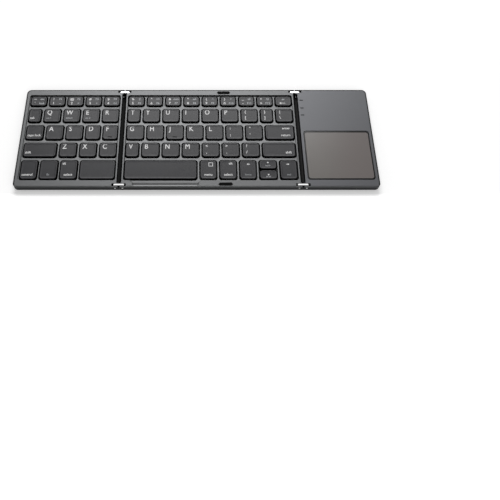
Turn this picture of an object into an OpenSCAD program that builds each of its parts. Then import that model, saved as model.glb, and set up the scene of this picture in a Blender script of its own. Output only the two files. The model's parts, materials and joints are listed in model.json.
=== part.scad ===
/* [Overall size] */
// Width of the opened keyboard
body_w = 305; // [303:0.5:308]
// Depth from the front edge to the rear edge
body_d = 97.5; // [97.5:0.5:100]
// Height of the bezel above the desk
body_h = 7.3; // [7.3:0.1:7.6]
// Width of the left leaf
left_w = 85.9; // [85.5:0.1:86.1]
// Width of the right leaf
right_w = 62; // [61.5:0.1:62.2]
// Gap between a leaf and the centre panel
fold_gap = 4.1; // [4.0:0.1:4.2]
// Radius of the four outer corners in plan
corner_r = 4; // [3.5:0.1:4.5]
// Radius of the rounded edge under each panel
under_r = 1.6; // [1.2:0.1:1.8]

/* [Shells] */
// Thickness of the floor of a bottom shell
floor_t = 1; // [0.8:0.1:1]
// Thickness of the rim that shows round the top frame
rim_t = 0.9; // [0.8:0.05:0.95]
// Thickness of the wall beside a fold
fold_wall_t = 1; // [0.8:0.1:1.1]
// Drop of the rim below the bezel
rim_drop = 0.3; // [0.2:0.1:0.4]
// Height of a rubber foot below its shell
foot_h = 0.5; // [0.4:0.1:0.6]
// Length of a rubber foot
foot_l = 10; // [8:0.5:12]
// Width of a rubber foot
foot_w = 1.6; // [1.2:0.1:2]

/* [Key deck] */
// Depth of the key well below the bezel
well_depth = 1.5; // [1.3:0.1:1.6]
// Thickness of the web between the keys
web_t = 1; // [0.8:0.1:1.1]
// Width of the rib between the key well and a fold
rib_w = 1.1; // [1:0.1:1.2]
// Gap between a key and the edge of its window
key_gap = 0.7; // [0.6:0.05:0.75]
// Corner radius of a key in plan
key_r = 2; // [1.6:0.1:2.4]
// Travel of a key
key_travel = 1.2; // [1:0.1:1.2]
// Bevel round the top of a key
key_bevel = 0.25; // [0.15:0.05:0.4]

/* [Hinges] */
// Distance between the two pins of a link
pin_pitch = 6.2; // [6.1:0.05:6.3]
// Depth of the pins below the bezel
pin_drop = 2.6; // [2.5:0.05:2.7]
// Radius of a hinge pin
pin_r = 0.8; // [0.6:0.05:0.9]
// Running clearance round a hinge pin
pin_play = 0.05; // [0.02:0.01:0.08]
// Radius of the round ends of a link
link_r = 2.3; // [2:0.1:2.4]
// Thickness of a link
link_t = 1.4; // [1.2:0.1:1.7]

/* [Touchpad] */
// Width of the touchpad
pad_w = 55.7; // [50:0.1:56]
// Depth of the touchpad
pad_d = 46.6; // [40:0.1:50]

/* [Hidden] */
$fn = 48;
e = 0.01;

left_x0 = -body_w / 2;
left_x1 = left_x0 + left_w;
mid_x0 = left_x1 + fold_gap;
right_x1 = body_w / 2;
right_x0 = right_x1 - right_w;
mid_x1 = right_x0 - fold_gap;
left_fold_x = (left_x1 + mid_x0) / 2;
right_fold_x = (mid_x1 + right_x0) / 2;

floor_z = foot_h + floor_t;
rim_z = body_h - rim_drop;
well_z = body_h - well_depth;
web_z = well_z - web_t;
pin_z = body_h - pin_drop;
ledge_t = rim_t + 1;
seam = 0.05;

// Hinge stations: each sits in a notch at the front and rear end of a fold
knuckle_r = pin_drop;
knuckle_out = body_d / 2;
notch_out = body_d / 2 - rim_t;
notch_in = 45.3;
knuckle_in = 43.9;
notch_half = 5.95;
notch_z = pin_z - knuckle_r - 0.1;
link_in = notch_in + 0.25;
end_gap = 0.06;
pin_in = knuckle_in + 0.1;
pin_out = knuckle_out - 0.1;
pin_ring_r = 1.3;
pin_ring_depth = 0.3;

// Key rows from the rear to the front: depth of each, and the keys as [name, width]
row_rear = 41.5;
row_front = -41.4;
row_d = [10.2, 13.9, 14.6, 14, 18.1];
left_rows = [
    [["escape", 14.4], ["1", 14.2], ["2", 14.2], ["3", 14.2], ["4", 14.2]],
    [["tab", 11.1], ["q", 14.8], ["w", 14.8], ["e", 14.7], ["r", 14.7]],
    [["caps", 15.1], ["a", 15], ["s", 14.8], ["d", 12.9], ["f", 12.9]],
    [["shift_l", 28.3], ["z", 14.7], ["x", 14.6], ["c", 14.6]],
    [["ctrl", 14.2], ["fn", 14.9], ["alt", 14.5], ["space_l", 29.8]],
];
mid_rows = [
    [["5", 14.2], ["6", 13.9], ["7", 13.9], ["8", 14], ["9", 13.8], ["0", 14], ["minus", 13.8],
     ["equals", 14], ["delete", 14.5]],
    [["t", 11.1], ["y", 14.8], ["u", 14.7], ["i", 14.8], ["o", 14.7], ["p", 14.8],
     ["bracket_l", 14.6], ["bracket_r", 10.9], ["backslash", 15]],
    [["g", 15.1], ["h", 14.8], ["j", 14.9], ["k", 14.8], ["l", 14.9], ["semicolon", 14.8],
     ["quote", 14.8], ["enter", 25]],
    [["v", 11.4], ["b", 15.2], ["n", 14.9], ["m", 14.8], ["comma", 14.8], ["period", 14.9],
     ["slash", 14.9], ["shift_r", 28.4]],
    [["space_r", 61.1], ["system", 14.1], ["alt_r", 14.3], ["arrow_left", 14.1],
     ["arrow_up_down", 14.9], ["arrow_right", 14.5]],
];

LETTERS = ["q", "w", "e", "r", "t", "y", "u", "i", "o", "p",
           "a", "s", "d", "f", "g", "h", "j", "k", "l",
           "z", "x", "c", "v", "b", "n", "m"];
PUNCTUATION = ["bracket_l", "bracket_r", "backslash", "semicolon", "quote", "comma",
               "period", "slash"];
COMMANDS = ["enter", "shift_r", "system", "alt_r", "arrow_left", "arrow_up_down",
            "arrow_right"];
MODIFIERS = ["tab", "caps", "shift_l", "ctrl", "fn", "alt"];
LEFT_NUMBERS = [for (k = left_rows[0]) k[0]];
MID_NUMBERS = [for (k = mid_rows[0]) k[0]];

// Key well of each panel: the keys of a row share its width, less the window gap
well_rear = 42.75;
well_front = -42.5;
left_well = [left_x0 + 3.4, left_x1 - rib_w];
mid_well = [mid_x0 + rib_w, mid_x1 - rib_w];
left_span = [left_x0 + 4.6, left_x1 - rib_w - key_gap];
mid_span = [mid_x0 + rib_w + key_gap, mid_x1 - rib_w - key_gap];
well_r = 2;

// Heights of a key: skirt, underside of its top, and top
key_top = body_h - 0.2;
key_bottom = key_top - 2.8;
key_roof = key_top - 1;
key_wall = 1;
plate_t = 0.6;
membrane_t = 0.4;
membrane_top = floor_z + plate_t + membrane_t;
dome_h = key_travel + 0.4;
stem_r = 1.2;
stem_z = membrane_top + dome_h;
split_gap = 0.9;
bar_l = 3.6;
bar_h = 0.2;

// Thumb recess in front of the space key: its floor is level with the web, and its front side
// slopes up from recess_foot to recess_front
recess_x = [-55, 3.6];
recess_foot = -44.6;
recess_front = -46.8;
recess_end = 3;

// Bumpers that the folded leaves close on
bumper_x = 24.2;
bumper_ys = [-45.9, 45.2];
bumper_l = 10.9;
bumper_w = 2;
bumper_sink = 0.7;
bumper_proud = 0.8;

// Feet sit in pockets outside a groove in the back
foot_y = 46;
foot_sink = 0.3;
foot_end = 14;
groove_y = 43.9;
groove_w = 0.5;
groove_depth = 0.3;

// Right leaf
pad_x0 = 93;
pad_y0 = -41.6;
pad_r = 2;
pad_gap = 0.45;
pad_t = 1.1;
pad_drop = 0.15;
pad_ledge = 1.5;
light_x = 93.4;
light_ys = [37.1, 28.9, 21.6];
light_l = 3.3;
light_w = 1;
port_x = 141;
port_w = 9;
port_h = 3.2;
port_l = 7.3;
port_y = body_d / 2 - 0.4 - port_l;
port_wall = 0.35;
board_t = 1;
port_z = floor_z + board_t + port_h / 2 - 0.8;
battery = [40, 31, 2.9];
battery_r = 1.5;

function sum(v, n) = n <= 0 ? 0 : v[n - 1] + sum(v, n - 1);
function widths(row) = [for (k = row) k[1]];
function row_gap(row, span) =
    (span[1] - span[0] - sum(widths(row), len(row))) / (len(row) - 1);
function line_gap() = (row_rear - row_front - sum(row_d, len(row_d))) / (len(row_d) - 1);
function row_y(r) = row_rear - sum(row_d, r + 1) - r * line_gap();

// One key as [name, x, y, width, depth] from its front left corner
function row_keys(rows, span) = [
    for (r = [0:len(rows) - 1], i = [0:len(rows[r]) - 1])
        [rows[r][i][0],
         span[0] + sum(widths(rows[r]), i) + i * row_gap(rows[r], span),
         row_y(r), rows[r][i][1], row_d[r]]];
left_keys = row_keys(left_rows, left_span);
mid_keys = row_keys(mid_rows, mid_span);
function is_in(name, names) = len([for (n = names) if (n == name) n]) > 0;
function pick(keys, names) = [for (k = keys) if (is_in(k[0], names)) k];

// The split arrow key is two short keys in one window
function halves(k) = k[0] == "arrow_up_down"
    ? let (d = (k[4] - split_gap) / 2)
      [[k[0], k[1], k[2], k[3], d], [k[0], k[1], k[2] + d + split_gap, k[3], d]]
    : [k];
function caps(keys) = [for (k = keys, h = halves(k)) h];

module round_rect(w, d, r) {
    translate([r, 0])
        square([w - 2 * r, d]);
    translate([0, r])
        square([w, d - 2 * r]);
    for (x = [r, w - r], y = [r, d - r])
        translate([x, y])
            circle(r);
}

// Section of a free edge, from the corner's centre outwards: rounded below, eased above
module edge_section() {
    ease = 0.4;
    polygon([[0, foot_h], [corner_r - under_r, foot_h],
             [corner_r - under_r, foot_h + under_r], [corner_r, foot_h + under_r],
             [corner_r, rim_z - ease], [corner_r - ease, rim_z], [0, rim_z]]);
    translate([corner_r - under_r, foot_h + under_r])
        circle(under_r);
}

// Solid outline of a panel from x0 to x1; a leaf also has its free edge, at x0
module tray_blank(x0, x1, leaf) {
    a = leaf ? x0 + corner_r : x0;
    half = body_d / 2 - corner_r;
    translate([a, -half, foot_h])
        cube([x1 - a, 2 * half, rim_z - foot_h]);
    for (s = [0, 1])
        mirror([0, s, 0])
            translate([a, half, 0])
                rotate([90, 0, 90])
                    linear_extrude(x1 - a)
                        edge_section();
    if (leaf) {
        translate([a, half, 0])
            mirror([1, 0, 0])
                rotate([90, 0, 0])
                    linear_extrude(2 * half)
                        edge_section();
        for (s = [0, 1])
            mirror([0, s, 0])
                translate([a, half, 0])
                    rotate([0, 0, 90])
                        rotate_extrude(angle = 90)
                            edge_section();
    }
}

// Plan of a panel drawn in by inset at its free edges, ending at x1
module plan(x0, x1, inset, leaf) {
    half = body_d / 2 - corner_r;
    a = leaf ? x0 + corner_r : x0;
    translate([a, inset - body_d / 2])
        square([x1 - a, body_d - 2 * inset]);
    if (leaf) {
        translate([x0 + inset, -half])
            square([corner_r - inset, 2 * half]);
        for (y = [-half, half])
            translate([a, y])
                circle(corner_r - inset);
    }
}

// Cylinder along Y about a pin, from y0 to y1 in front of or behind the middle
module pin_bar(x, y0, y1, r) {
    for (s = [0, 1])
        mirror([0, s, 0])
            translate([x, y1, pin_z])
                rotate([90, 0, 0])
                    cylinder(h = y1 - y0, r = r);
}

// Box at both ends of a fold
module end_box(x0, x1, y0, y1, z0, z1) {
    for (s = [0, 1])
        mirror([0, s, 0])
            translate([x0, y0, z0])
                cube([x1 - x0, y1 - y0, z1 - z0]);
}

function foot_xs(x0, x1) = [x0 + foot_end, x1 - foot_end];
module foot_bars(x0, x1, z0, z1) {
    for (x = foot_xs(x0, x1), y = [-foot_y, foot_y])
        translate([x - foot_l / 2, y - foot_w / 2, z0])
            linear_extrude(z1 - z0)
                round_rect(foot_l, foot_w, foot_w / 2 - e);
}

// Block for the hinge notch at the fold side of a shell, which is at x1
module hinge_block(x1) {
    end_box(x1 - 5.2, x1, 42.6, notch_out, foot_h + e, web_z);
}

// Above the pin the wall ends are round, so that they roll past each other; below it they are
// square and stop the opened leaf
module hinge_wall_end(x0, x1, leaf) {
    pin_x = x1 - fold_overlap();
    end_x = x1 + fold_gap / 2 - end_gap;
    intersection() {
        tray_blank(x0, end_x, leaf);
        union() {
            pin_bar(pin_x, notch_out, knuckle_out, end_x - pin_x);
            end_box(pin_x, end_x, notch_out, knuckle_out, 0, pin_z);
        }
    }
}

module hinge_notch(x0, x1) {
    end_box(x0, x1, knuckle_in - 0.1, notch_out, notch_z, body_h + 1);
}

module pin_holes(pin_x) {
    pin_bar(pin_x, pin_in - 1, knuckle_out + 1, pin_r + pin_play);
    pin_bar(pin_x, knuckle_out - pin_ring_depth, knuckle_out + 1, pin_ring_r);
}

// Bottom shell of a leaf, drawn as the left one
module leaf_shell(x0, x1) {
    pin_x = x1 - fold_overlap();
    difference() {
        union() {
            difference() {
                tray_blank(x0, x1, true);
                translate([0, 0, floor_z])
                    linear_extrude(web_z - floor_z + e)
                        plan(x0, x1 - fold_wall_t, ledge_t, true);
                translate([0, 0, web_z])
                    linear_extrude(body_h)
                        plan(x0, x1 + 1, rim_t, true);
            }
            hinge_block(x1);
            hinge_wall_end(x0, x1, true);
        }
        hinge_notch(x1 + fold_gap / 2 - notch_half, x1 + fold_gap);
        pin_holes(pin_x);
        back_details(x0, x1);
    }
}

// Distance from a panel's fold edge back to its own pin
function fold_overlap() = (pin_pitch - fold_gap) / 2;

module back_details(x0, x1) {
    foot_bars(x0, x1, 0, foot_h + foot_sink);
    for (y = [-groove_y, groove_y])
        translate([x0 + 2.5, y - groove_w / 2, foot_h - 1])
            cube([x1 - x0 - 4.5, groove_w, 1 + groove_depth]);
}

// Frame of a leaf or of the centre before its openings
module frame_blank(x0, x1, leaf) {
    translate([0, 0, web_z])
        linear_extrude(body_h - web_z)
            plan(x0, x1, rim_t + seam, leaf);
}

module knuckle(pin_x) {
    pin_bar(pin_x, knuckle_in, notch_in, knuckle_r);
}

module frame_notch(x0, x1) {
    end_box(x0, x1, notch_in, body_d / 2, web_z - 1, body_h + 1);
}

module windows(keys) {
    for (k = keys)
        translate([k[1] - key_gap, k[2] - key_gap])
            round_rect(k[3] + 2 * key_gap, k[4] + 2 * key_gap, key_r + key_gap);
}

module well(span) {
    translate([span[0], well_front])
        round_rect(span[1] - span[0], well_rear - well_front, well_r);
}

// Web with its windows below, bezel with its well above, and the knuckles of its hinges
module left_top_frame() {
    pin_x = left_x1 - fold_overlap();
    color("dimgray")
        difference() {
            union() {
                translate([0, 0, web_z])
                    linear_extrude(web_t)
                        difference() {
                            plan(left_x0, left_x1, rim_t + seam, true);
                            windows(left_keys);
                        }
                translate([0, 0, well_z])
                    linear_extrude(well_depth)
                        difference() {
                            plan(left_x0, left_x1, rim_t + seam, true);
                            well(left_well);
                        }
                knuckle(pin_x);
            }
            frame_notch(left_fold_x - notch_half, left_fold_x);
            pin_holes(pin_x);
        }
}

module thumb_recess() {
    translate([0, 0, well_z])
        linear_extrude(well_depth + 1)
            polygon([[recess_x[0], well_front + 1], [recess_x[0], well_front],
                     [recess_x[0] + recess_end / 2, recess_foot],
                     [recess_x[1] - recess_end / 2, recess_foot], [recess_x[1], well_front],
                     [recess_x[1], well_front + 1]]);
    x0 = recess_x[0] + recess_end / 2;
    x1 = recess_x[1] - recess_end / 2;
    translate([x0, 0, 0])
        rotate([90, 0, 90])
            linear_extrude(x1 - x0)
                polygon([[recess_foot + e, well_z], [recess_foot, well_z],
                         [recess_front, body_h], [recess_front, body_h + 1],
                         [recess_foot + e, body_h + 1]]);
}

module centre_top_frame() {
    pins = [mid_x0 + fold_overlap(), mid_x1 - fold_overlap()];
    color("dimgray")
        difference() {
            union() {
                translate([0, 0, web_z])
                    linear_extrude(web_t)
                        difference() {
                            plan(mid_x0, mid_x1, rim_t + seam, false);
                            windows(mid_keys);
                        }
                translate([0, 0, well_z])
                    linear_extrude(well_depth)
                        difference() {
                            plan(mid_x0, mid_x1, rim_t + seam, false);
                            well(mid_well);
                        }
                for (x = pins)
                    knuckle(x);
            }
            frame_notch(left_fold_x, left_fold_x + notch_half);
            frame_notch(right_fold_x - notch_half, right_fold_x);
            for (x = pins)
                pin_holes(x);
            bumper_bars(body_h - bumper_sink, body_h + 1);
            thumb_recess();
        }
}

module bumper_bars(z0, z1) {
    for (y = bumper_ys)
        translate([bumper_x - bumper_l / 2, y - bumper_w / 2, z0])
            linear_extrude(z1 - z0)
                round_rect(bumper_l, bumper_w, bumper_w / 2 - e);
}

module right_top_frame() {
    pin_x = right_x0 + fold_overlap();
    color("dimgray")
        difference() {
            union() {
                mirror([1, 0, 0])
                    frame_blank(-right_x1, -right_x0, true);
                knuckle(pin_x);
            }
            frame_notch(right_fold_x, right_fold_x + notch_half);
            pin_holes(pin_x);
            translate([pad_x0 + pad_ledge, pad_y0 + pad_ledge, 0])
                linear_extrude(body_h)
                    round_rect(pad_w - 2 * pad_ledge, pad_d - 2 * pad_ledge, pad_r);
            translate([pad_x0 - pad_gap, pad_y0 - pad_gap, body_h - pad_drop - pad_t])
                linear_extrude(body_h)
                    round_rect(pad_w + 2 * pad_gap, pad_d + 2 * pad_gap, pad_r + pad_gap);
            light_bars(0, body_h + 1);
        }
}

module light_bars(z0, z1) {
    for (y = light_ys)
        translate([light_x - light_l / 2, y - light_w / 2, z0])
            linear_extrude(z1 - z0)
                round_rect(light_l, light_w, light_w / 2 - e);
}

module left_bottom_shell() {
    color("#39393c")
        leaf_shell(left_x0, left_x1);
}

module centre_bottom_shell() {
    pins = [mid_x0 + fold_overlap(), mid_x1 - fold_overlap()];
    color("#39393c")
        difference() {
            union() {
                difference() {
                    tray_blank(mid_x0, mid_x1, false);
                    translate([0, 0, floor_z])
                        linear_extrude(web_z - floor_z + e)
                            plan(mid_x0 + fold_wall_t, mid_x1 - fold_wall_t, ledge_t, false);
                    translate([0, 0, web_z])
                        linear_extrude(body_h)
                            plan(mid_x0 - 1, mid_x1 + 1, rim_t, false);
                }
                hinge_block(mid_x0 + 5.2);
                hinge_block(mid_x1);
                hinge_wall_end(0, mid_x1, false);
                mirror([1, 0, 0])
                    hinge_wall_end(0, -mid_x0, false);
            }
            hinge_notch(left_fold_x, left_fold_x + notch_half);
            hinge_notch(right_fold_x - notch_half, right_fold_x);
            for (x = pins)
                pin_holes(x);
            back_details(mid_x0, mid_x1);
        }
}

module port_outline(w, h) {
    round_rect(w, h, h / 2 - e);
}

module right_bottom_shell() {
    color("#39393c")
        difference() {
            mirror([1, 0, 0])
                leaf_shell(-right_x1, -right_x0);
            translate([port_x + port_w / 2, body_d / 2 - ledge_t - 0.3, port_z - port_h / 2])
                rotate([90, 0, 180])
                    linear_extrude(ledge_t + 1)
                        port_outline(port_w, port_h);
        }
}

module base_plate(span) {
    translate([span[0], -42, floor_z])
        cube([span[1] - span[0], 84, plate_t]);
}

module membrane(span) {
    translate([span[0], -42, floor_z + plate_t])
        cube([span[1] - span[0], 84, membrane_t]);
}

// Rubber dome: a foot ring, a thin cone and a flat crown
module dome() {
    rotate_extrude()
        polygon([[2.3, 0], [3.2, 0], [3.2, 0.25], [2.7, 0.35], [1.5, dome_h - 0.3],
                 [1.4, dome_h], [0, dome_h], [0, dome_h - 0.6], [1.1, dome_h - 0.6]]);
}

module domes(keys) {
    for (k = caps(keys))
        translate([k[1] + k[3] / 2, k[2] + k[4] / 2, membrane_top])
            dome();
}

// Key cap about its own middle: straight sides, a bevel round the top, hollow below, and a
// stem that stands on its dome
module key_cap(w, d) {
    h = key_top - key_bottom;
    x = w / 2 - key_r;
    y = d / 2 - key_r;
    section = [[0, 0], [key_r, 0], [key_r, h - key_bevel], [key_r - key_bevel, h], [0, h]];
    difference() {
        union() {
            translate([-x, -y, 0])
                cube([2 * x, 2 * y, h]);
            for (s = [0, 1]) {
                mirror([0, s, 0])
                    translate([-x, y, 0])
                        rotate([90, 0, 90])
                            linear_extrude(2 * x)
                                polygon(section);
                mirror([s, 0, 0])
                    translate([x, y, 0])
                        rotate([90, 0, 0])
                            linear_extrude(2 * y)
                                polygon(section);
                for (t = [0, 1])
                    mirror([s, 0, 0])
                        mirror([0, t, 0])
                            translate([x, y, 0])
                                rotate_extrude(angle = 90)
                                    polygon(section);
            }
        }
        translate([key_wall - w / 2, key_wall - d / 2, -1])
            linear_extrude(1 + key_roof - key_bottom)
                round_rect(w - 2 * key_wall, d - 2 * key_wall, key_r - key_wall);
    }
    translate([0, 0, stem_z - key_bottom])
        cylinder(h = key_roof - stem_z + e, r = stem_r);
}

// The two home keys have a bar near the front edge
module key_caps(keys) {
    for (k = caps(keys))
        translate([k[1] + k[3] / 2, k[2] + k[4] / 2, key_bottom])
            color("#2f2f32") {
                key_cap(k[3], k[4]);
                if (is_in(k[0], ["f", "j"]))
                    translate([-bar_l / 2, 2.4 - k[4] / 2, key_top - key_bottom - e])
                        cube([bar_l, 0.5, bar_h + e]);
            }
}

module left_base_plate() {
    color("silver")
        base_plate(left_span);
}

module left_membrane() {
    color("#8a9a8c")
        membrane(left_span);
}

module left_domes() {
    color("gainsboro")
        domes(left_keys);
}

module centre_base_plate() {
    color("silver")
        base_plate(mid_span);
}

module centre_membrane() {
    color("#8a9a8c")
        membrane(mid_span);
}

module centre_domes() {
    color("gainsboro")
        domes(mid_keys);
}

module centre_bumpers() {
    color("#101010")
        bumper_bars(body_h - bumper_sink, body_h + bumper_proud);
}

module left_feet() {
    color("#101010")
        foot_bars(left_x0, left_x1, 0, foot_h + foot_sink);
}

module centre_feet() {
    color("#101010")
        foot_bars(mid_x0, mid_x1, 0, foot_h + foot_sink);
}

module right_feet() {
    color("#101010")
        foot_bars(right_x0, right_x1, 0, foot_h + foot_sink);
}

module touchpad() {
    color("#4b4540")
        translate([pad_x0, pad_y0, body_h - pad_drop - pad_t])
            linear_extrude(pad_t)
                round_rect(pad_w, pad_d, pad_r);
}

// Circuit board of the right leaf, with its controller and a tab that carries the port
module main_board() {
    color("darkgreen")
        difference() {
            union() {
                translate([94, -42, floor_z])
                    cube([54, 50, board_t]);
                translate([port_x - 7, 8 - e, floor_z])
                    cube([14, port_y - 8.1, board_t]);
            }
            for (x = [97, 145], y = [-39, 4])
                translate([x, y, 0])
                    cylinder(h = 10, r = 1.1);
        }
    color("#202020")
        for (c = [[104, -20, 9, 9], [124, -8, 5, 5], [136, -28, 6, 4], [112, -34, 4, 3]])
            translate([c[0], c[1], floor_z + board_t - e])
                cube([c[2], c[3], 1 + e]);
}

module battery_cell() {
    color("lightsteelblue")
        translate([93.2, 11, floor_z])
            linear_extrude(battery[2])
                round_rect(battery[0], battery[1], battery_r);
}

// Metal shell of the charging socket with its tongue
module charge_port() {
    color("silver")
        translate([port_x + port_w / 2 - 0.1, port_y + port_l, port_z - port_h / 2 + 0.1])
            rotate([90, 0, 0])
                mirror([1, 0, 0])
                    difference() {
                        linear_extrude(port_l)
                            port_outline(port_w - 0.2, port_h - 0.2);
                        translate([port_wall, port_wall, -1])
                            linear_extrude(port_l)
                                port_outline(port_w - 0.2 - 2 * port_wall,
                                             port_h - 0.2 - 2 * port_wall);
                    }
    color("#202020")
        translate([port_x - 3.3, port_y + 0.4, port_z - 0.35])
            cube([6.6, port_l - 1.4, 0.7]);
}

module status_lights() {
    color("whitesmoke")
        light_bars(web_z, body_h);
}

// Two straight links with round ends, one at each end of a fold
module hinge_links(x) {
    difference() {
        union() {
            for (dx = [-pin_pitch / 2, pin_pitch / 2])
                pin_bar(x + dx, link_in, link_in + link_t, link_r);
            end_box(x - pin_pitch / 2, x + pin_pitch / 2, link_in, link_in + link_t,
                    pin_z - link_r, pin_z + link_r);
        }
        for (dx = [-pin_pitch / 2, pin_pitch / 2])
            pin_bar(x + dx, link_in - 1, link_in + link_t + 1, pin_r);
    }
}

module hinge_pins(x) {
    for (dx = [-pin_pitch / 2, pin_pitch / 2])
        pin_bar(x + dx, pin_in, pin_out, pin_r);
}

// Strip that closes the gap, with a narrower tongue under the link at each end
module hinge_strip(x) {
    strip_half = fold_gap / 2 - 0.25;
    tongue_half = 1;
    strip_t = 0.7;
    strip_z = pin_z - link_r - strip_t;
    translate([x - strip_half, 0.3 - knuckle_in, strip_z])
        cube([2 * strip_half, 2 * (knuckle_in - 0.3), strip_t]);
    end_box(x - tongue_half, x + tongue_half, knuckle_in - 0.3 - e, notch_out - 0.2, strip_z,
            strip_z + strip_t);
}

module left_hinge_links() {
    color("white")
        hinge_links(left_fold_x);
}

module left_hinge_pins() {
    color("gainsboro")
        hinge_pins(left_fold_x);
}

module left_hinge_strip() {
    color("#101010")
        hinge_strip(left_fold_x);
}

module right_hinge_links() {
    color("white")
        hinge_links(right_fold_x);
}

module right_hinge_pins() {
    color("gainsboro")
        hinge_pins(right_fold_x);
}

module right_hinge_strip() {
    color("#101010")
        hinge_strip(right_fold_x);
}

centre_bottom_shell();
centre_top_frame();
centre_base_plate();
centre_membrane();
centre_domes();
centre_bumpers();
centre_feet();
left_bottom_shell();
left_top_frame();
left_base_plate();
left_membrane();
left_domes();
left_feet();
right_bottom_shell();
right_top_frame();
touchpad();
main_board();
battery_cell();
charge_port();
status_lights();
right_feet();
left_hinge_links();
left_hinge_pins();
left_hinge_strip();
right_hinge_links();
right_hinge_pins();
right_hinge_strip();
key_caps(pick(left_keys, LEFT_NUMBERS));  // left_number_keys
key_caps(pick(mid_keys, MID_NUMBERS));  // centre_number_keys
key_caps(pick(left_keys, MODIFIERS));  // left_modifier_keys
key_caps(pick(mid_keys, PUNCTUATION));  // centre_punctuation_keys
key_caps(pick(mid_keys, COMMANDS));  // centre_command_keys
key_caps(pick(left_keys, ["space_l"]));  // left_space_key
key_caps(pick(mid_keys, ["space_r"]));  // centre_space_key
for (k = LETTERS)
    key_caps(pick(concat(left_keys, mid_keys), [k]));
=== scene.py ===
import json
import math

import bpy
from mathutils import Matrix, Vector


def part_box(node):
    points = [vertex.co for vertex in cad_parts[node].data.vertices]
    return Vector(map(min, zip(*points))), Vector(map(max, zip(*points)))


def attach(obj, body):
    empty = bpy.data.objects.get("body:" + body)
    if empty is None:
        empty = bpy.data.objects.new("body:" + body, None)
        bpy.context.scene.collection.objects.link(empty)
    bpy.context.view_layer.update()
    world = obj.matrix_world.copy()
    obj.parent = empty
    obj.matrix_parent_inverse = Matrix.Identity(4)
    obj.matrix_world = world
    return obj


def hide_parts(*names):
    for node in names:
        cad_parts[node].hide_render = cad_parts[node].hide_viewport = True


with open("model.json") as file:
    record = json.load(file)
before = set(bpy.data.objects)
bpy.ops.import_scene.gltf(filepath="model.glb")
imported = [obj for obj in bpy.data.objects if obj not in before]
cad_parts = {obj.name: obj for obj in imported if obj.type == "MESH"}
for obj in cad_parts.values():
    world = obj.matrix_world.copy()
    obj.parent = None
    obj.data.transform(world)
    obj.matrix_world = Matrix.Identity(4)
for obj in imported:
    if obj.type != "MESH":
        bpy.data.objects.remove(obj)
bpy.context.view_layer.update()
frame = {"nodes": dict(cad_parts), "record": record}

MM = 0.001


# The table and the light: a white sweep under the keyboard, a wide softbox above and behind
# it, a weaker one from the front, and a white surround that the polished hinges mirror.
camera_place = Vector((0.46, -281.71, 486.55)) * MM
camera_down = math.radians(59.630)
camera_turn = math.radians(-0.117)
camera_roll = math.radians(-0.113)
lens_pixels = 643.42
centre_pixel = (196.4, 137)
frame_pixels = 500
sensor_mm = 36

ahead = Vector((math.sin(camera_turn) * math.cos(camera_down),
                math.cos(camera_turn) * math.cos(camera_down), -math.sin(camera_down)))
level = Vector((math.cos(camera_turn), -math.sin(camera_turn), 0))
upward = level.cross(ahead)
across = level * math.cos(camera_roll) + upward * math.sin(camera_roll)
upright = upward * math.cos(camera_roll) - level * math.sin(camera_roll)
bpy.ops.object.camera_add(location=camera_place)
camera = bpy.context.object
camera.rotation_euler = Matrix((across, upright, -ahead)).transposed().to_euler()
camera.data.sensor_width = sensor_mm
camera.data.lens = lens_pixels / frame_pixels * sensor_mm
camera.data.shift_x = (frame_pixels / 2 - centre_pixel[0]) / frame_pixels
camera.data.shift_y = (centre_pixel[1] - frame_pixels / 2) / frame_pixels
camera.data.clip_start = 0.01
bpy.context.scene.camera = camera
bpy.context.scene.view_settings.view_transform = "Standard"


def softbox(name, place, aim, width, depth, watts):
    """A rectangular lamp at place, turned to face aim."""
    bpy.ops.object.light_add(type="AREA", location=place)
    lamp = bpy.context.object
    lamp.name = name
    lamp.rotation_euler = (Vector(aim) - Vector(place)).to_track_quat("-Z", "Y").to_euler()
    lamp.data.shape = "RECTANGLE"
    lamp.data.size = width
    lamp.data.size_y = depth
    lamp.data.energy = watts
    return lamp


softbox("key_softbox", (-0.067, 1.347, 1.4), (0, 0.02, 0), 1.177, 1, 21.68)
softbox("fill_softbox", (0.3, -0.75, 0.6), (0, 0, 0), 0.9, 0.5, 1.4)


class Wire:
    """One shader socket. Arithmetic on wires adds Math nodes to their material."""

    def __init__(self, tree, socket):
        self.tree = tree
        self.socket = socket

    def reckon(self, operation, *values):
        step = self.tree.nodes.new("ShaderNodeMath")
        step.operation = operation
        for socket, value in zip(step.inputs, values):
            plug(self.tree, value, socket)
        return Wire(self.tree, step.outputs[0])

    def __add__(self, other):
        return self.reckon("ADD", self, other)

    def __sub__(self, other):
        return self.reckon("SUBTRACT", self, other)

    def __mul__(self, other):
        return self.reckon("MULTIPLY", self, other)

    def __rsub__(self, other):
        return self.reckon("SUBTRACT", other, self)

    __radd__ = __add__
    __rmul__ = __mul__

    def size(self):
        """The value without its sign."""
        return self.reckon("ABSOLUTE", self)

    def at_least(self, other):
        return self.reckon("MAXIMUM", self, other)

    def at_most(self, other):
        return self.reckon("MINIMUM", self, other)

    def root(self):
        return self.reckon("SQRT", self)


def plug(tree, value, socket):
    """Links a wire to a socket, or sets a plain value on it."""
    if isinstance(value, Wire):
        tree.links.new(value.socket, socket)
    else:
        socket.default_value = value


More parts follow.
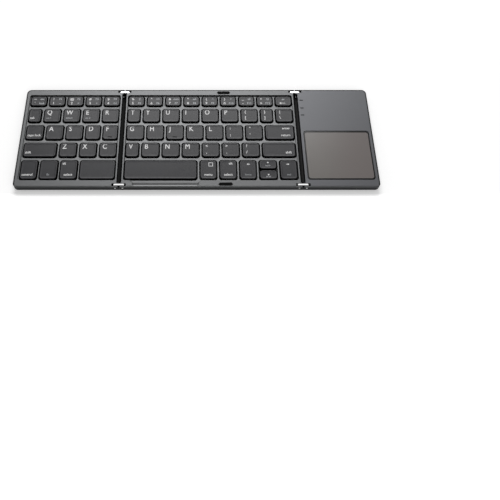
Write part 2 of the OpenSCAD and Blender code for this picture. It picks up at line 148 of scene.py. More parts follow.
class Finish:
    """A material: node() adds a node, and skin() sets what the surface shader reads."""

    def __init__(self, name):
        self.material = bpy.data.materials.new(name)
        self.material.use_nodes = True
        self.tree = self.material.node_tree
        self.shader = self.tree.nodes["Principled BSDF"]
        self.place = self.node("ShaderNodeTexCoord", output="Object")

    def node(self, kind, settings=None, sockets=None, output=0):
        made = self.tree.nodes.new(kind)
        for name, value in (settings or {}).items():
            setattr(made, name, value)
        for name, value in (sockets or {}).items():
            plug(self.tree, value, made.inputs[name])
        return Wire(self.tree, made.outputs[output])

    def noise(self, size, detail=2.0, where=None):
        """Noise between 0 and 1 whose features are about size metres across."""
        return self.node("ShaderNodeTexNoise", None,
                         {"Vector": where or self.place, "Scale": 1 / size,
                          "Detail": detail}, "Fac")

    def mix(self, mask, low, high):
        """The colour low where the mask is 0 and high where it is 1; each a colour or a wire."""
        first, last = [end if isinstance(end, Wire) else (*end, 1) for end in (low, high)]
        return self.node("ShaderNodeMix", {"data_type": "RGBA"},
                         {"Factor": mask, 6: first, 7: last}, 2)

    def parts(self, vector):
        """The x, y and z of a vector wire."""
        split = self.node("ShaderNodeSeparateXYZ", None, {"Vector": vector})
        return [Wire(self.tree, output) for output in split.socket.node.outputs]

    def coordinates(self):
        """Places along x, y and z on the object, in metres."""
        return self.parts(self.place)

    def step(self, value, low, high):
        """The value's way from low to high, clamped between 0 and 1."""
        return self.node("ShaderNodeMapRange", {"clamp": True},
                         {"Value": value, "From Min": low, "From Max": high})

    def rounded(self, low, high, radius):
        """Distance in plan from a rounded rectangle between two corners, below 0 inside it."""
        reach = 0
        for place, start, end in zip(self.coordinates()[:2], low, high):
            over = (place - (start + end) / 2).size() - ((end - start) / 2 - radius)
            reach = over.at_least(0) * over.at_least(0) + reach
        return reach.root() - radius

    def dent(self, height, depth, under=None):
        """A normal that tilts as if the surface rose by depth metres where height is 1."""
        sockets = {"Height": height, "Distance": depth, "Strength": 1.0}
        if under:
            sockets["Normal"] = under
        return self.node("ShaderNodeBump", None, sockets, "Normal")

    def skin(self, **sockets):
        for name, value in sockets.items():
            plug(self.tree, value, self.shader.inputs[name.replace("_", " ")])
        return self.material


def grey(level, warm=0.0, blue=0.0):
    """Linear colour for a display grey from 0 to 255, leaned to red or to blue."""
    parts = [(level + tint) / 255 for tint in (warm, 0, blue - warm)]
    return tuple(p / 12.92 if p <= 0.04045 else ((p + 0.055) / 1.055) ** 2.4 for p in parts)


def coat(material, *nodes):
    """Gives CAD nodes their material."""
    for name in nodes:
        slots = frame["nodes"][name].data.materials
        slots.clear()
        slots.append(material)


def clear_selection():
    """Leaves nothing selected, so that an operator acts only on what is picked next."""
    if bpy.context.object and bpy.context.object.mode == "EDIT":
        bpy.ops.object.mode_set(mode="OBJECT")
    bpy.ops.object.select_all(action="DESELECT")


shadow_fade_start = -51.0 * MM
shadow_fade_full = -54.2 * MM
far_table = (300 * MM, 700 * MM)


def white_table():
    """A white surface that keeps a soft shadow, lightened by painted light ahead of the front
    edge, and shows pure white away from it.
    """
    finish = Finish("white_table")
    shader = finish.shader
    shader.inputs["Base Color"].default_value = (0.92, 0.92, 0.92, 1)
    shader.inputs["Roughness"].default_value = 0.9
    shader.inputs["Specular IOR Level"].default_value = 0.1
    camera_ray = finish.node("ShaderNodeLightPath", output="Is Camera Ray")
    along, across, height = finish.coordinates()
    # Painted light: the table glows brighter ahead of the keyboard's front edge, which shortens
    # and lightens its shadow there.
    shadow_fade = finish.step(across, shadow_fade_start, shadow_fade_full)
    far = finish.step((along * along + across * across).root(), *far_table)
    glow = finish.node("ShaderNodeEmission", None,
                       {"Color": (1, 1, 1, 1),
                        "Strength": camera_ray * (shadow_fade * 0.29 + far * 0.7 + 0.31)})
    both = finish.node("ShaderNodeAddShader", None,
                       {0: Wire(finish.tree, shader.outputs[0]), 1: glow})
    surface = finish.tree.nodes["Material Output"].inputs["Surface"]
    finish.tree.links.new(both.socket, surface)
    return finish.material


clear_selection()
bpy.ops.mesh.primitive_plane_add(size=6, location=(0, 0, -0.02 * MM))
table = bpy.context.object
table.name = "table"
table.data.materials.append(white_table())

surround = bpy.data.worlds.new("surround")
surround.use_nodes = True
bpy.context.scene.world = surround
sky = surround.node_tree
seen = sky.nodes.new("ShaderNodeLightPath")
sky_level = (Wire(sky, seen.outputs["Is Camera Ray"]) * 0.68
             + Wire(sky, seen.outputs["Is Singular Ray"]) * 0.88
             - Wire(sky, seen.outputs["Is Glossy Ray"]) * 0.2 + 0.32)
background = sky.nodes["Background"]
background.inputs["Color"].default_value = (1, 1, 1, 1)
plug(sky, sky_level, background.inputs["Strength"])


# Bottom shells: three shallow trays, pressed and coated a near-black grey with a fine matt
# grain. Their rims show as a thin dark line round the lighter frames. The top of the front wall
# is painted the frames' grey, partly the top cover's paint and partly a painted highlight, and
# a black band of painted shade lies round the pins.
wall_top = (6.1 * MM, 6.95 * MM)
front_wall = (-46.5 * MM, -47.5 * MM)
pin_recess = 48.45 * MM
pin_height = 4.7 * MM
pin_ring = 1.45 * MM


def coated_shell():
    finish = Finish("coated_shell")
    finish.shader.inputs["Specular IOR Level"].default_value = 0.15
    grain = finish.noise(0.35 * MM, 3)
    cloud = finish.noise(28 * MM, 2)
    dark = finish.mix(cloud * 0.6 + grain * 0.4, grey(43, -1), grey(49, -1))
    along, across, height = finish.coordinates()
    # Painted highlight: the top of the front wall fades up to the frames' grey, partly the top
    # cover's paint and partly light caught on the rounded edge.
    edge = finish.step(height, *wall_top) * finish.step(across, *front_wall)
    tone = finish.mix(edge, dark, grey(108, -1))
    # Painted shade: a black band on the notch faces round the pins, where the knuckle slots are in
    # shadow.
    pin_shade = (finish.step((across.size() - pin_recess).size(), 0.06 * MM, 0.03 * MM)
            * finish.step((height - pin_height).size() - pin_ring, 0.05 * MM, -0.05 * MM))
    return finish.skin(
        Base_Color=finish.mix(pin_shade, tone, grey(6)), Metallic=edge * 0.6,
        Roughness=grain * 0.12 + 0.36, Normal=finish.dent(grain, 0.01 * MM))


coat(coated_shell(), "left_bottom_shell", "centre_bottom_shell", "right_bottom_shell")


# Feet: bars of soft black rubber pressed into pockets in the shells, dull and a little dusty.
def soft_rubber(name, low, high):
    finish = Finish(name)
    grain = finish.noise(0.5 * MM, 3)
    dust = finish.noise(6 * MM, 2)
    finish.shader.inputs["Specular IOR Level"].default_value = 0.15
    return finish.skin(
        Base_Color=finish.mix(dust, grey(low), grey(high)),
        Roughness=dust * 0.15 + 0.7, Normal=finish.dent(grain, 0.02 * MM))


coat(soft_rubber("foot_rubber", 22, 34), "left_feet", "centre_feet", "right_feet")


# Under the keys: a blackened steel plate, a dark printed membrane on it, and a black
# silicone dome for each key. Hardly any of it shows past the caps.
def pressed_steel():
    finish = Finish("pressed_steel")
    streak = finish.node("ShaderNodeMapping", None,
                         {"Vector": finish.place, "Scale": (0.04, 1, 1)})
    roll = finish.noise(0.4 * MM, 2, streak)
    return finish.skin(
        Base_Color=finish.mix(roll, grey(24), grey(34)), Metallic=0.6,
        Roughness=roll * 0.2 + 0.3, Normal=finish.dent(roll, 0.005 * MM))


def printed_film():
    finish = Finish("printed_film")
    tracks = finish.node("ShaderNodeTexVoronoi", {"feature": "DISTANCE_TO_EDGE"},
                         {"Vector": finish.place, "Scale": 1 / (9 * MM)}, "Distance")
    line = finish.step(tracks, 0.05, 0.07)
    return finish.skin(
        Base_Color=finish.mix(line, grey(34), grey(18)), Roughness=line * 0.2 + 0.3)


def black_silicone():
    finish = Finish("black_silicone")
    cloud = finish.noise(2 * MM)
    return finish.skin(
        Base_Color=finish.mix(cloud, grey(12), grey(18)), Roughness=cloud * 0.2 + 0.4)


coat(pressed_steel(), "left_base_plate", "centre_base_plate")
coat(printed_film(), "left_membrane", "centre_membrane")
coat(black_silicone(), "left_domes", "centre_domes")


# Top frames: moulded in black in one piece with the webs between the keys and the hinge
# knuckles, and coated a satin metallic grey. The walls of the key windows, the undersides of the
# webs and the ledge under the touchpad are painted near-black, as painted shade.
well_depth = 1.5 * MM
web_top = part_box("left_top_frame")[1].z - well_depth
pad_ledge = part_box("touchpad")[0].z
plan_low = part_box("left_bottom_shell")[0]
plan_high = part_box("right_bottom_shell")[1]
plan_corner = 4 * MM
rim_line = 1.37 * MM
well_front = -43.3 * MM
web_rear_shade = (22 * MM, 30 * MM)
left_fold = -64.7 * MM
fold_half = 3.75 * MM
recess_line = -45.73 * MM
recess_middle = -25.95 * MM
recess_half = 26.1 * MM
slant = 0.707


def satin_paint(name, low, high, blue):
    """Grey on upward faces above the webs' tops, black elsewhere as painted shade. Thin dark lines
    of painted shade lie beside the left fold, along the recess before the space bar, round the
    outer rim and round the bumpers."""
    finish = Finish(name)
    flake = finish.noise(0.22 * MM, 2)
    cloud = finish.noise(45 * MM, 2)
    painted = finish.mix(cloud * 0.7 + flake * 0.3, grey(low, -1, blue), grey(high, -1, blue))
    along, across, height = finish.coordinates()
    facing = finish.node("ShaderNodeTexCoord", output="Normal")
    up = finish.step(finish.parts(facing)[2], 0.35, 0.75)
    # Painted shade: side faces, faces below the webs' tops and the ledge under the touchpad go
    # near-black.
    above = (finish.step(height, web_top - 0.12 * MM, web_top - 0.02 * MM) * up
             * finish.step((height - pad_ledge).size(), 0.03 * MM, 0.06 * MM))
    # Painted light on the web floor between the keys: a lighter grey than the bezel as a painted
    # highlight, a little darker towards the rear as painted shade.
    on_web = (finish.step(height, web_top + 0.3 * MM, web_top + 0.1 * MM)
              * finish.step(across - well_front, -0.1 * MM, 0.1 * MM))
    web = finish.mix(finish.step(across, *web_rear_shade), grey(121, -1), grey(109, -1))
    lit = finish.mix(on_web, painted, web)
    # Painted shade: dark lines beside the left fold, along the recess before the space bar, round
    # the outer rim and round the bumpers.
    beside_fold = ((along - left_fold).size() - fold_half).size()
    line = finish.step(beside_fold, 0.5 * MM, 0.3 * MM) * on_web * 0.8
    past_front = across - recess_line
    past_middle = (along - recess_middle).size()
    recess = past_front.at_most((recess_half - past_middle + past_front) * slant)
    line = line.at_least(finish.step(recess.size(), 0.5 * MM, 0.3 * MM) * 0.7
                         * finish.step(across - well_front, 1.1 * MM, 0.8 * MM))
    outline = finish.rounded(plan_low, plan_high, plan_corner) + rim_line
    line = line.at_least(finish.step(outline, -0.05 * MM, 0.05 * MM)
                         * finish.step(across, -46.5 * MM, -45.5 * MM) * 0.9)
    # Painted highlight: the front-facing slope of the recess is painted lighter to offset the
    # shade it gets.
    slope_highlight = (finish.step(past_front, -0.4 * MM, -0.7 * MM)
             * finish.step(past_middle - recess_half, 0.3 * MM, 0))
    lit = finish.mix(slope_highlight, lit, grey(140, -1))
    for end in (bumper_low, bumper_high):
        bumper_shade = finish.rounded(*end, 0.8 * MM)
        line = line.at_least(finish.step(bumper_shade, 0.1 * MM, 0.0))
    shown = above * (1 - line)
    return finish.skin(
        Base_Color=finish.mix(shown, grey(10), lit), Metallic=shown * 0.6,
        Roughness=flake * 0.12 + 0.355, Normal=finish.dent(flake, 0.006 * MM))


low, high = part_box("centre_bumpers")
bumper_low = ((low.x - 0.6 * MM, low.y), (high.x + 0.6 * MM, low.y + 1.6 * MM))
bumper_high = ((low.x - 0.6 * MM, high.y - 1.6 * MM), (high.x + 0.6 * MM, high.y))
coat(satin_paint("satin_paint", 104, 112, 0), "left_top_frame", "centre_top_frame")
# Painted shade: the right frame takes a darker, slightly bluer copy of the paint, for the lower
# light on the right leaf.
coat(satin_paint("satin_paint_shaded", 100, 105, 2), "right_top_frame")


# Key caps: moulded in black plastic with a soft grey coat on the top, straight sides and a
# shallow dish. The sides and the rolled edge are near-black, partly the plastic and partly painted
# shade, and the flat ring round the dish is painted lighter as a painted highlight. One blank is
# modelled, and each cap is that blank drawn out to its key's size. They are hollow, with a stem
# over the dome.
blank = 10 * MM
cap_corner = 2.6 * MM
roll_edge = 0.62 * MM
dish_rim = 0.7 * MM
dish_depth = 0.07 * MM
cap_wall = 1 * MM
cap_skirt = 2.8 * MM
cap_roof = 1 * MM
cap_stem = 1.2 * MM
stem_reach = 0.2 * MM
homing_bar = 3.6 * MM


def pick(mesh, faces=None, edges=None, verts=None):
    """Selects faces, edges or vertices of a mesh in edit mode by a test on each."""
    bpy.ops.object.mode_set(mode="EDIT")
    bpy.ops.mesh.select_all(action="DESELECT")
    kind = "FACE" if faces else "EDGE" if edges else "VERT"
    bpy.ops.mesh.select_mode(type=kind)
    bpy.ops.object.mode_set(mode="OBJECT")
    for group, test in ((mesh.polygons, faces), (mesh.edges, edges), (mesh.vertices, verts)):
        if test:
            for item in group:
                item.select = test(item)
    bpy.ops.object.mode_set(mode="EDIT")


def cap_blank():
    """A square key cap, 10 mm wide, standing on the origin's plane with its stem below."""
    clear_selection()
    bpy.ops.mesh.primitive_cube_add(size=1, location=(0, 0, cap_skirt / 2))
    cap = bpy.context.object
    cap.scale = (blank, blank, cap_skirt)
    bpy.ops.object.transform_apply(location=True, rotation=False, scale=True)
    mesh = cap.data
    point = mesh.vertices
    pick(mesh, edges=lambda e: abs(point[e.vertices[0]].co.z - point[e.vertices[1]].co.z) > MM)
    bpy.ops.mesh.bevel(offset=cap_corner, offset_type="OFFSET", segments=6, profile=0.5)
    pick(mesh, edges=lambda e: min(point[v].co.z for v in e.vertices) > cap_skirt - 0.01 * MM)
    bpy.ops.mesh.bevel(offset=roll_edge, offset_type="OFFSET", segments=4, profile=0.5)
    pick(mesh, faces=lambda f: f.normal.z > 0.99 and f.area > blank * blank / 4)
    bpy.ops.mesh.inset(thickness=dish_rim, depth=0)
    bpy.ops.mesh.inset(thickness=dish_rim, depth=-dish_depth)
    pick(mesh, faces=lambda f: f.normal.z < -0.99)
    bpy.ops.mesh.inset(thickness=cap_wall, depth=0)
    bpy.ops.mesh.extrude_region_move(
        TRANSFORM_OT_translate={"value": (0, 0, cap_skirt - cap_roof)})
    bpy.ops.object.mode_set(mode="OBJECT")
    bpy.ops.mesh.primitive_cylinder_add(
        vertices=24, radius=cap_stem, depth=cap_skirt - cap_roof + stem_reach,
        location=(0, 0, (cap_skirt - cap_roof - stem_reach) / 2))
    stem = bpy.context.object
    bpy.ops.object.transform_apply(location=True, rotation=False, scale=False)
    cap.select_set(True)
    bpy.context.view_layer.objects.active = cap
    stem.select_set(True)
    bpy.ops.object.join()
    bpy.ops.object.shade_smooth_by_angle(angle=math.radians(38))
    for material in coats:
        mesh.materials.append(material)
    # Painted light on the top: the flat ring takes the lighter coat, a painted highlight; the
    # rolled edge keeps the black, partly painted shade.
    for face in mesh.polygons:
        if face.normal.z > 0.99 and face.center.z > cap_skirt - dish_depth * 1.1:
            face.material_index = 1 if face.center.z > cap_skirt - dish_depth / 4 else 2
            face.use_smooth = face.area < blank * blank / 8
    return cap


def solids_of(name):
    """The box of each separate solid of a CAD node, by rows from the rear, left to right."""
    clear_selection()
    copy = frame["nodes"][name].copy()
    copy.data = copy.data.copy()
    copy.parent = None
    bpy.context.collection.objects.link(copy)
    copy.select_set(True)
    bpy.context.view_layer.objects.active = copy
    bpy.ops.object.mode_set(mode="EDIT")
    bpy.ops.mesh.select_all(action="SELECT")
    bpy.ops.mesh.remove_doubles(threshold=0.001 * MM)
    bpy.ops.mesh.separate(type="LOOSE")
    bpy.ops.object.mode_set(mode="OBJECT")
    boxes = []
    for part in list(bpy.context.selected_objects):
        spots = [v.co for v in part.data.vertices]
        low = Vector([min(s[i] for s in spots) for i in range(3)])
        high = Vector([max(s[i] for s in spots) for i in range(3)])
        boxes.append((low, high))
        bpy.data.objects.remove(part)
    return sorted(boxes, key=lambda b: (-round(b[1].y / MM), b[0].x))


def key_coat(name, low, high):
    """The soft grey coat of a key's top; a lighter copy on the flat ring round the dish is a
    painted highlight.
    """
    finish = Finish(name)
    grain = finish.noise(0.3 * MM, 3)
    cloud = finish.noise(17 * MM, 2)
    finish.shader.inputs["Specular IOR Level"].default_value = 0.31
    return finish.skin(
        Base_Color=finish.mix(cloud * 0.5 + grain * 0.5, grey(low, 0, 3), grey(high, 0, 3)),
        Roughness=grain * 0.08 + 0.26, Normal=finish.dent(grain, 0.006 * MM))


def key_plastic():
    """The black plastic of the sides and rolled edge, near-black partly as the bare plastic and
    partly as painted shade.
    """
    finish = Finish("key_plastic")
    grain = finish.noise(0.4 * MM, 2)
    finish.shader.inputs["Specular IOR Level"].default_value = 0.05
    return finish.skin(Base_Color=finish.mix(grain, grey(2), grey(5)),
                       Roughness=grain * 0.1 + 0.5)


cap_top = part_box("key_q")[1].z
coats = [key_plastic(), key_coat("key_rim_highlight", 56, 62), key_coat("key_top", 49, 54)]
cad_bodies = frame["record"]["behaviour"]["bodies"]
body_of = {node: body for body, nodes in cad_bodies.items() for node in nodes}
key_nodes = [node for node in body_of
             if node.startswith("key_") or node.endswith(("_keys", "_key"))]
key_boxes = {}
blank_cap = cap_blank()
for node in key_nodes:
    key_boxes[node] = solids_of(node)
    copies = []
    for low, high in key_boxes[node]:
        cap = blank_cap.copy()
        cap.data = blank_cap.data.copy()
        bpy.context.collection.objects.link(cap)
        grow = ((high.x - low.x - blank) / 2, (high.y - low.y - blank) / 2)
        middle = (low + high) / 2
        for vertex in cap.data.vertices:
            for axis in (0, 1):
                if abs(vertex.co[axis]) > cap_stem * 1.01:
                    vertex.co[axis] += grow[axis] * math.copysign(1, vertex.co[axis])
            vertex.co += Vector((middle.x, middle.y, cap_top - cap_skirt))
        copies.append(cap)
    # Painted shade: the homing bar is black, standing for the shaded side of the raised bar.
    if node in ("key_f", "key_j"):
        clear_selection()
        low, high = key_boxes[node][0]
        bpy.ops.mesh.primitive_cube_add(
            size=1, location=((low.x + high.x) / 2, low.y + 2.65 * MM, cap_top + 0.05 * MM))
        bpy.context.object.scale = (homing_bar, 0.5 * MM, 0.3 * MM)
        bpy.ops.object.transform_apply(location=True, rotation=False, scale=True)
        bpy.context.object.data.materials.append(coats[0])
        copies.append(bpy.context.object)
    clear_selection()
    for cap in copies:
        cap.select_set(True)
    bpy.context.view_layer.objects.active = copies[0]
    if len(copies) > 1:
        bpy.ops.object.join()
    piece = bpy.context.view_layer.objects.active
    piece.name = "cap_" + node
    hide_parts(node)
    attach(piece, body_of[node])
bpy.data.objects.remove(blank_cap)


# Legends: letters, figures, signs and plain words, printed in pale ink on the coat. The
# number row and a few other keys have a second legend in a dimmer ink for the fn layer.
ink_height = 0.018 * MM
ink_sink = 0.01 * MM
dish_z = cap_top - dish_depth
letter_size = 5.5 * MM
letter_tall = 1.22
sign_size = 3.7 * MM
word_size = 3.1 * MM
fine_size = 1.9 * MM


def ink(name, level, tint):
    finish = Finish(name)
    speck = finish.noise(0.25 * MM, 2)
    return finish.skin(
        Base_Color=finish.mix(speck, grey(level - 8, tint), grey(level + 6, tint)),
        Roughness=speck * 0.1 + 0.5)


pale_ink = ink("pale_ink", 240, 0)
dim_ink = ink("dim_ink", 200, -3)
faint_ink = ink("faint_ink", 150, -3)


def printed(text, x, y, size, align="LEFT", weight=0.0, tall=1.0):
    """Text as a thin closed mesh on the key tops, with its middle height at y."""
    clear_selection()
    bpy.ops.object.text_add(location=(0, 0, 0))
    words = bpy.context.object
    words.data.body = text
    words.data.size = size
    words.data.align_x = align
    words.data.align_y = "CENTER"
    words.data.extrude = (ink_height + ink_sink) / 2
    words.data.offset = weight
    words.data.resolution_u = 3
    bpy.ops.object.convert(target="MESH")
    flat = bpy.context.object
    flat.data.transform(Matrix.Translation((x, y, dish_z + (ink_height - ink_sink) / 2))
                        @ Matrix.Diagonal((1, tall, 1, 1)))
    return flat


def arrow(x, y, size, turn, shaft=0.0):
    """A printed triangle that points away from the typist, turned by turn degrees."""
    clear_selection()
    bpy.ops.mesh.primitive_cylinder_add(
        vertices=3, radius=size / 2, depth=ink_height + ink_sink, location=(0, 0, 0))
    flat = bpy.context.object
    if shaft:
        bpy.ops.mesh.primitive_cube_add(size=1, location=(0, -size / 4 - shaft / 2, 0))
        line = bpy.context.object
        line.scale = (0.45 * MM, shaft, ink_height + ink_sink)
        bpy.ops.object.transform_apply(location=True, rotation=False, scale=True)
        flat.select_set(True)
        bpy.context.view_layer.objects.active = flat
        bpy.ops.object.join()
    flat.data.transform(
        Matrix.Translation((x, y, dish_z + (ink_height - ink_sink) / 2))
        @ Matrix.Rotation(math.radians(turn), 4, "Z"))
    return flat


letter_weight = 0.00008
side_gap = 2.5 * MM


def letter_legend(text, low, high):
    """A capital near the rear left corner; a narrow key has it in the middle."""
    narrow = high.x - low.x < 12 * MM
    x = low.x + (high.x - low.x) * 0.39 if narrow else low.x + side_gap
    return [(printed(text.upper(), x, high.y - 3.95 * MM, letter_size,
                     "CENTER" if narrow else "LEFT", letter_weight, letter_tall), pale_ink)]


def pair_legend(upper, lower, low, high):
    """Two signs, one above the other, at the left of a full-size key."""
    x = low.x + 3.9 * MM
    return [(printed(upper, x, high.y - 3.4 * MM, sign_size, "CENTER", letter_weight), pale_ink),
            (printed(lower, x, low.y + 4.6 * MM, sign_size, "CENTER", letter_weight), pale_ink)]


def number_legend(upper, lower, second, third, low, high):
    """Sign over figure at the left, and the fn layer's two at the right in dim ink."""
    x = low.x + 3.9 * MM
    far = high.x - 4.3 * MM
    return [(printed(upper, x, high.y - 2.9 * MM, 3.5 * MM, "CENTER", letter_weight), pale_ink),
            (printed(lower, x, low.y + 2.8 * MM, 3.5 * MM, "CENTER", letter_weight), pale_ink),
            (printed(second, far, high.y - 2.9 * MM, 2.8 * MM, "CENTER", 0.00004), dim_ink),
            (printed(third, far, low.y + 2.8 * MM, 2.8 * MM, "CENTER", 0.00004), dim_ink)]


def word_legend(text, low, high, side="LEFT", row="FRONT", size=word_size, colour=None):
    """A word near the front edge of a key, or near its rear edge."""
    x = {"LEFT": low.x + 1.6 * MM, "RIGHT": high.x - 3.4 * MM,
         "CENTER": (low.x + high.x) / 2}[side]
    y = low.y + 4.3 * MM if row == "FRONT" else high.y - 3.3 * MM
    return [(printed(text, x, y, size, side, 0.00005), colour or pale_ink)]


def number_row(boxes, signs):
    made = []
    for (low, high), (upper, lower, second, third) in zip(boxes, signs):
        made += number_legend(upper, lower, second, third, low, high)
    return made


legends = {}
for node in key_nodes:
    if node.startswith("key_"):
        legends[node] = letter_legend(node[-1], *key_boxes[node][0])

for letter, word in (("q", "set 1"), ("w", "default"), ("e", "set 2")):
    low, high = key_boxes["key_" + letter][0]
    legends["key_" + letter].append(
        (printed(word, low.x + 2.4 * MM, low.y + 4.3 * MM, 2.2 * MM), dim_ink))

legends["left_number_keys"] = number_row(
    key_boxes["left_number_keys"],
    [("~", "`", "esc", "lock"), ("!", "1", "F1", "--"), ("@", "2", "F2", "="),
     ("#", "3", "F3", "+"), ("$", "4", "F4", "<<")])
legends["centre_number_keys"] = number_row(
    key_boxes["centre_number_keys"][:-1],
    [("%", "5", "||", "F5"), ("^", "6", ">>", "F6"), ("&", "7", "num", "F7"),
     ("*", "8", "sel", "F8"), ("(", "9", "<", "F9"), (")", "0", ">", "F10"),
     ("_", "-", "all", "F11"), ("+", "=", "Q", "F12")])
last_low, last_high = key_boxes["centre_number_keys"][-1]
legends["centre_number_keys"] += word_legend("del", last_low, last_high, "CENTER", "REAR",
                                             fine_size, dim_ink)
legends["centre_number_keys"].append(
    (arrow(last_low.x + 4.8 * MM, last_low.y + 3 * MM, 2.4 * MM, 90, 3.6 * MM), pale_ink))

marks = [("{", "["), ("}", "]"), ("|", "\\"), (":", ";"), ("\"", "'"), ("<", ","), (">", "."),
         ("?", "/")]
legends["centre_punctuation_keys"] = []
for (low, high), (upper, lower) in zip(key_boxes["centre_punctuation_keys"], marks):
    legends["centre_punctuation_keys"] += pair_legend(upper, lower, low, high)

tab, caps_lock, shift, control, layer, alternate = key_boxes["left_modifier_keys"]
legends["left_modifier_keys"] = (
    word_legend("tab", *tab) + word_legend("caps lock", *caps_lock)
    + word_legend("shift", *shift) + word_legend("control", *control)
    + word_legend("fn", *layer, "CENTER", colour=faint_ink)
    + word_legend("alt", *alternate, "LEFT", "REAR") + word_legend("select", *alternate, "CENTER"))

enter, shift_right, menu, alt_right, left_key, up_key, right_key, down_key = (
    key_boxes["centre_command_keys"])
legends["centre_command_keys"] = (
    word_legend("enter", *enter, "RIGHT", "REAR") + word_legend("return", *enter, "RIGHT")
    + word_legend("shift", *shift_right, "RIGHT")
    + word_legend("menu", *menu, "CENTER") + word_legend("alt", *alt_right, "RIGHT", "REAR")
    + word_legend("select", *alt_right, "CENTER")
    + word_legend("home", *left_key, "CENTER", "FRONT", 2.3 * MM, faint_ink)
    + word_legend("end", *right_key, "CENTER", "FRONT", 2.3 * MM, faint_ink)
    + [(printed("pg up", (up_key[0].x + up_key[1].x) / 2, up_key[0].y + 3.6 * MM, fine_size,
                "CENTER"), dim_ink),
       (printed("pg dn", (down_key[0].x + down_key[1].x) / 2, down_key[0].y + 2.6 * MM,
                fine_size, "CENTER"), dim_ink)])
for box, turn, back, shaft in ((left_key, 90, 4.0, 1.3), (up_key, 0, 2.3, 0),
                               (right_key, -90, 4.0, 1.3), (down_key, 180, 4.3, 0)):
    legends["centre_command_keys"].append(
        (arrow((box[0].x + box[1].x) / 2, box[1].y - back * MM, 2 * MM, turn, shaft * MM),
         pale_ink))
clear_selection()
for dx, dy, wide, deep in ((0, 1.6, 3.6, 0.45), (0, -1.6, 3.6, 0.45), (-1.6, 0, 0.45, 2.8),
                           (1.6, 0, 0.45, 2.8)):
    bpy.ops.mesh.primitive_cube_add(
        size=1, location=(menu[1].x - 5 * MM + dx * MM, menu[1].y - 4.2 * MM + dy * MM,
                          dish_z + (ink_height - ink_sink) / 2))
    stroke = bpy.context.object
    stroke.scale = (wide * MM, deep * MM, ink_height + ink_sink)
    bpy.ops.object.transform_apply(location=True, rotation=False, scale=True)
    legends["centre_command_keys"].append((stroke, pale_ink))

for node, prints in legends.items():
    for flat, colour in prints:
        flat.data.materials.clear()
        flat.data.materials.append(colour)
    clear_selection()
    for flat, colour in prints:
        flat.select_set(True)
    bpy.context.view_layer.objects.active = prints[0][0]
    if len(prints) > 1:
        bpy.ops.object.join()
    piece = bpy.context.view_layer.objects.active
    piece.name = "print_" + node
    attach(piece, body_of[node])


# Bumpers: two rounded rubber bars glued into slots in the centre's bezel. The free edges of
# both folded leaves come to rest over them.
coat(soft_rubber("bumper_rubber", 4, 9), "centre_bumpers")


# Touchpad: a thin plate with a warm grey coat that shifts a little in hue, set into its
# window with a gap all round; a near-black border on the plate is painted shade for the gap.
pad_cool = (0.178, 0.166, 0.156)
pad_warm = (0.176, 0.157, 0.150)


def pad_coat():
    finish = Finish("pad_coat")
    grain = finish.noise(0.3 * MM, 2)
    drift = finish.noise(30 * MM, 1) * 14 * MM + finish.coordinates()[0]
    tone = finish.mix(finish.step(drift, 112 * MM, 140 * MM), pad_cool, pad_warm)
    inside = finish.rounded((pad_low.x + 0.9 * MM, pad_low.y + 1.1 * MM),
                            (pad_high.x - 0.6 * MM, pad_high.y - 1.4 * MM), 2 * MM)
    # Painted shade: a near-black border round the pad's edge, for the shadow in the groove.
    groove_shade = finish.step(inside, 0, 0.1 * MM)
    return finish.skin(
        Base_Color=finish.mix(groove_shade, tone, grey(12)), Roughness=grain * 0.06 + 0.2,
        Normal=finish.dent(grain, 0.002 * MM))


pad_low, pad_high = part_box("touchpad")
coat(pad_coat(), "touchpad")


# Status marks: three small light guides that end flush in the frame, dark while nothing
# behind them is lit.
def smoked_guide():
    finish = Finish("smoked_guide")
    cloud = finish.noise(1.2 * MM)
    finish.shader.inputs["Specular IOR Level"].default_value = 0.1
    return finish.skin(
        Base_Color=finish.mix(cloud, grey(6), grey(14)), Roughness=cloud * 0.1 + 0.35)


coat(smoked_guide(), "status_lights")


# Inside the right leaf: the circuit board with its controller, the flat battery cell, and
# the plated charging socket that opens in the rear wall.
def board_mask():
    finish = Finish("board_mask")
    pads = finish.node("ShaderNodeTexVoronoi", {"feature": "DISTANCE_TO_EDGE"},
                       {"Vector": finish.place, "Scale": 1 / (3 * MM)}, "Distance")
    line = finish.step(pads, 0.08, 0.12)
    return finish.skin(
        Base_Color=finish.mix(line, (0.05, 0.2, 0.1), (0.01, 0.08, 0.035)),
        Roughness=line * 0.1 + 0.3)


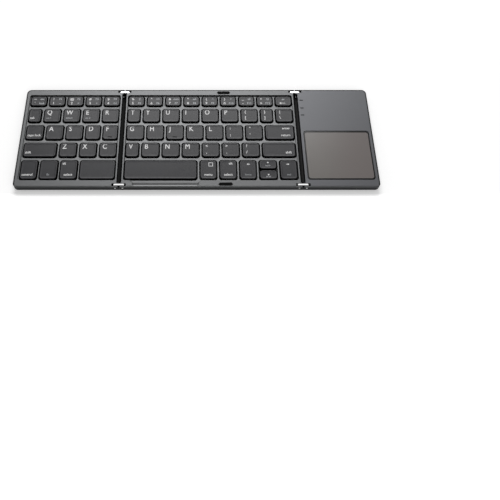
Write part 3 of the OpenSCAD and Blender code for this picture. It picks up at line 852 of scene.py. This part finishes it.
def cell_foil():
    finish = Finish("cell_foil")
    crease = finish.noise(4 * MM, 4)
    return finish.skin(
        Base_Color=finish.mix(crease, grey(170), grey(190)), Metallic=0.8,
        Roughness=crease * 0.2 + 0.3, Normal=finish.dent(crease, 0.1 * MM))


def plated(name, level, metal, rough):
    finish = Finish(name)
    wear = finish.noise(1.5 * MM, 3)
    return finish.skin(
        Base_Color=finish.mix(wear, grey(level - 10), grey(level)), Metallic=metal,
        Roughness=wear * 0.08 + rough)


coat(board_mask(), "main_board")
coat(cell_foil(), "battery_cell")
coat(plated("plated_socket", 190, 1.0, 0.25), "charge_port")


# Hinges: each fold has a polished two-pin link at its front and rear end. The pins are
# pressed into the links and turn in the knuckles; a black strip closes the fold below them.
def polished_link():
    """A mirror on the upper edge; the sides and the part behind the rear leaves are painted
    near-black as painted shade.
    """
    finish = Finish("polished_link")
    wear = finish.noise(1.5 * MM, 3)
    facing = finish.node("ShaderNodeTexCoord", output="Normal")
    up = (finish.step(finish.parts(facing)[2], 0.75, 0.9)
          * finish.step(finish.coordinates()[1], 46.6 * MM, 46.5 * MM))
    return finish.skin(
        Base_Color=finish.mix(up, grey(12), finish.mix(wear, grey(242), grey(252))),
        Metallic=1.0, Roughness=0.0)


def strip_rubber(name, level, light_edge, dark_edge):
    """Black rubber, painted lighter towards its light edge beside the leaf as a painted highlight.
    """
    finish = Finish(name)
    grain = finish.noise(0.5 * MM, 3)
    finish.shader.inputs["Specular IOR Level"].default_value = 0.1
    roll = finish.step(finish.coordinates()[0], light_edge, dark_edge)
    return finish.skin(
        Base_Color=finish.mix(roll, grey(level), grey(2)), Roughness=grain * 0.1 + 0.7,
        Normal=finish.dent(grain, 0.02 * MM))


coat(polished_link(), "left_hinge_links", "right_hinge_links")
# Painted highlight: the pins are near-white and half diffuse on the plated steel, so their heads
# read as bright spots.
coat(plated("turned_pin", 255, 0.5, 0.3), "left_hinge_pins", "right_hinge_pins")
# Painted light: each strip's lit edge has its own grey, the left darker than the right, for the
# light each gets.
coat(strip_rubber("strip_left", 46, -66.4 * MM, -63.6 * MM), "left_hinge_strip")
coat(strip_rubber("strip_right", 62, 90.4 * MM, 87.6 * MM), "right_hinge_strip")
